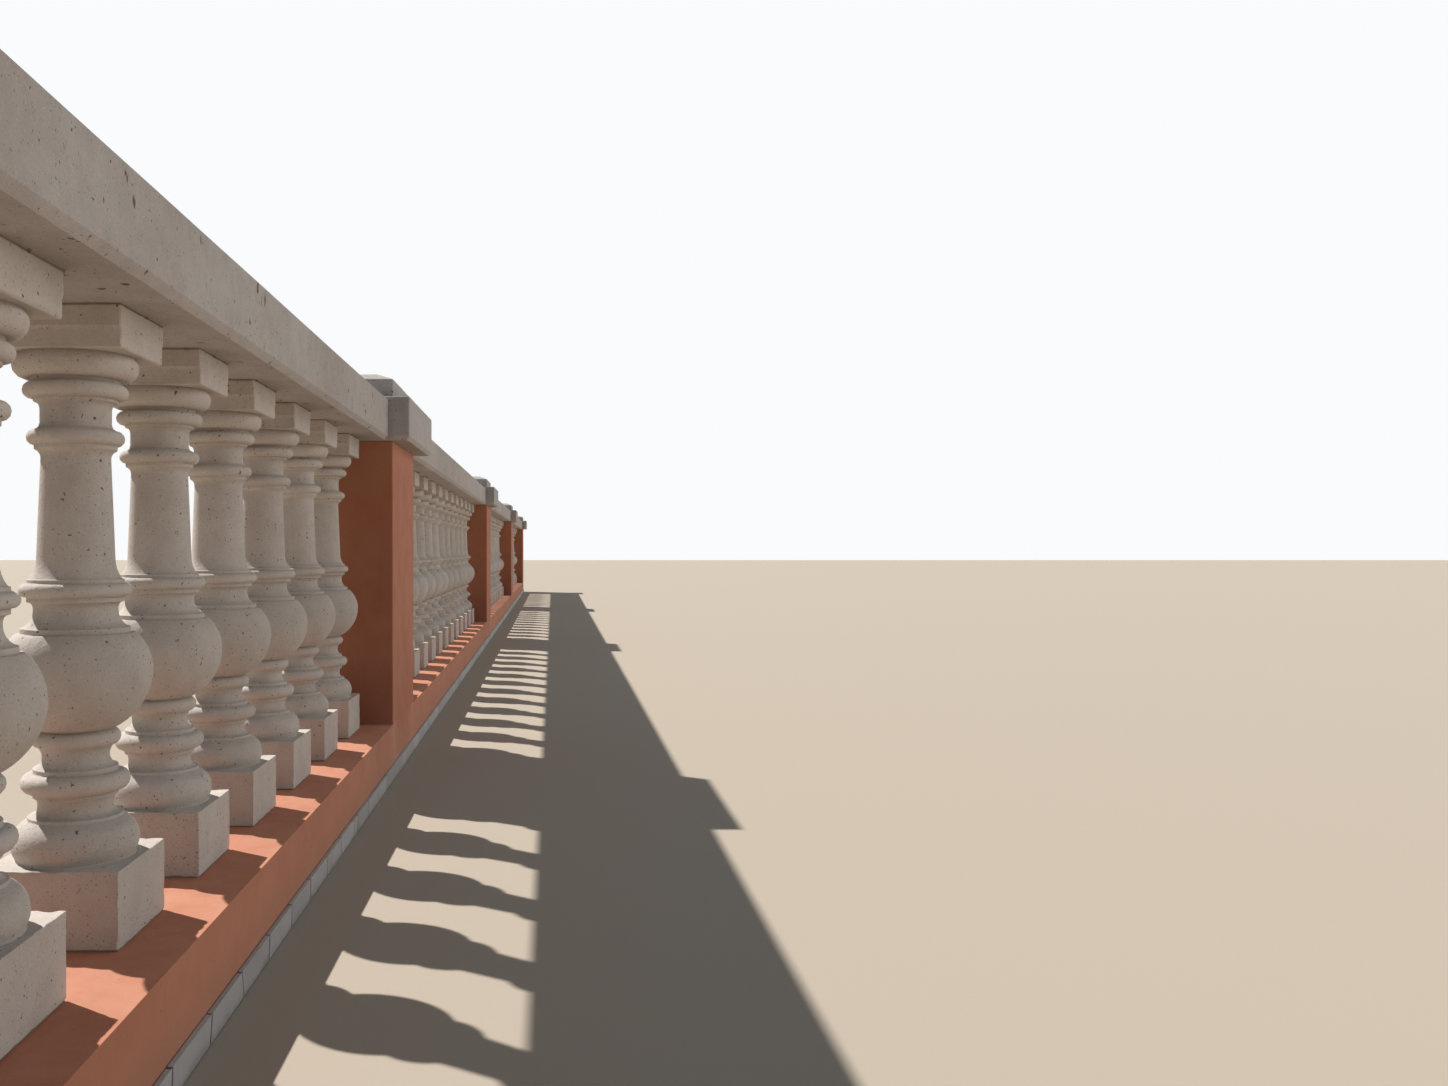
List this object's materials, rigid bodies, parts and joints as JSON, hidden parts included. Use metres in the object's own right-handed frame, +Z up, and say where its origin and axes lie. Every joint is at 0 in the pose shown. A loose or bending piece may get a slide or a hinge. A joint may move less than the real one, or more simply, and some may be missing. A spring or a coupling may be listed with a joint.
{
  "type": "stone balustrade",
  "caption": "Straight terrace balustrade in bays: turned cast-stone balusters on a rendered kerb, under a chamfered rail, between capped piers.",
  "frame": {"origin": "centre of the run's underside, on the floor under the middle pier", "axes": "+X along the run, +Y across it towards the outer side, so the terrace side faces -Y, +Z up"},
  "size_m": [18.605, 0.42, 1.082],
  "materials": {
    "terracotta_render": "painted render, matt",
    "skirting_tile": "matt, unglazed",
    "baluster_stone": "cast stone, pitted, matt",
    "rail_stone": "cast stone, pitted, matt",
    "cap_stone": "weathered grey cast stone"
  },
  "bodies": {
    "root": {"kerb_1": "terracotta_render", "kerb_2": "terracotta_render", "kerb_3": "terracotta_render", "kerb_4": "terracotta_render", "skirting_1": "skirting_tile", "skirting_2": "skirting_tile", "skirting_3": "skirting_tile", "skirting_4": "skirting_tile", "balusters_1": "baluster_stone", "balusters_2": "baluster_stone", "balusters_3": "baluster_stone", "balusters_4": "baluster_stone", "rail_1_long": "rail_stone", "rail_2_long": "rail_stone", "rail_3_long": "rail_stone", "rail_4_long": "rail_stone", "rail_1_short": "rail_stone", "rail_2_short": "rail_stone", "rail_3_short": "rail_stone", "rail_4_short": "rail_stone", "pier_1": "terracotta_render", "pier_2": "terracotta_render", "pier_3": "terracotta_render", "pier_4": "terracotta_render", "pier_5": "terracotta_render", "pier_cap_1": "cap_stone", "pier_cap_2": "cap_stone", "pier_cap_3": "cap_stone", "pier_cap_4": "cap_stone", "pier_cap_5": "cap_stone"}
  },
  "joints": []
}
